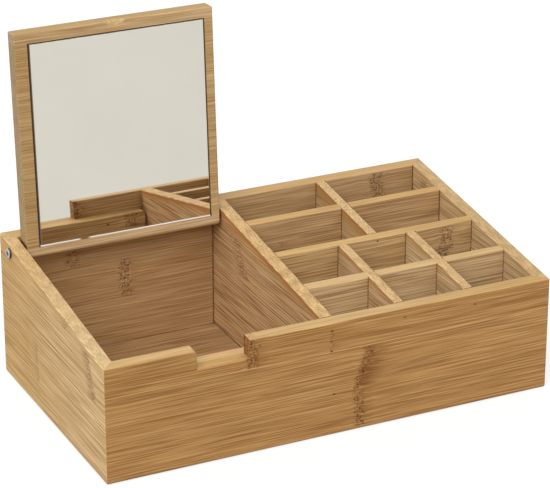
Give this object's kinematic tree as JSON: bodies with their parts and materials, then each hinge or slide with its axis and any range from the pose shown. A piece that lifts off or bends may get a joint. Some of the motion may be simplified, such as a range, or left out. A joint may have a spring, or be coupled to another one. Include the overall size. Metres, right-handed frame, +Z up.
{
  "type": "makeup organizer",
  "caption": "Bamboo desk organizer with a sloping rim: a bay under a hinged lid with an inset mirror, beside a tray divided into small cells.",
  "frame": {"origin": "on the table under the middle of the box", "axes": "+X to the right along the width, +Y from the front board to the back board, +Z up"},
  "size_m": [0.2816, 0.16, 0.2144],
  "materials": {
    "bamboo": "clear satin lacquer",
    "mirror": "silvered glass, seamed edge",
    "steel": "zinc plated",
    "tape": "white foam tape"
  },
  "bodies": {
    "box": {"front_panel": "bamboo", "back_panel": "bamboo", "left_side_panel": "bamboo", "right_side_panel": "bamboo", "base_panel": "bamboo", "mid_partition": "bamboo", "cross_divider_back": "bamboo", "cross_divider_middle": "bamboo", "cross_divider_front": "bamboo", "long_divider_back": "bamboo", "long_divider_front_left": "bamboo", "long_divider_front_right": "bamboo", "lid_rest_strip": "bamboo"},
    "lid": {"lid_panel": "bamboo", "lid_mirror": "mirror", "mirror_tape": "tape", "hinge_screw_left": "steel", "hinge_screw_right": "steel"}
  },
  "joints": [
    {"name": "lid_hinge", "type": "hinge", "parent": "box", "child": "lid", "pos_m": [0, 0.063, 0.0834], "axis": [1, 0, 0], "range_deg": [-26, 102]}
  ]
}
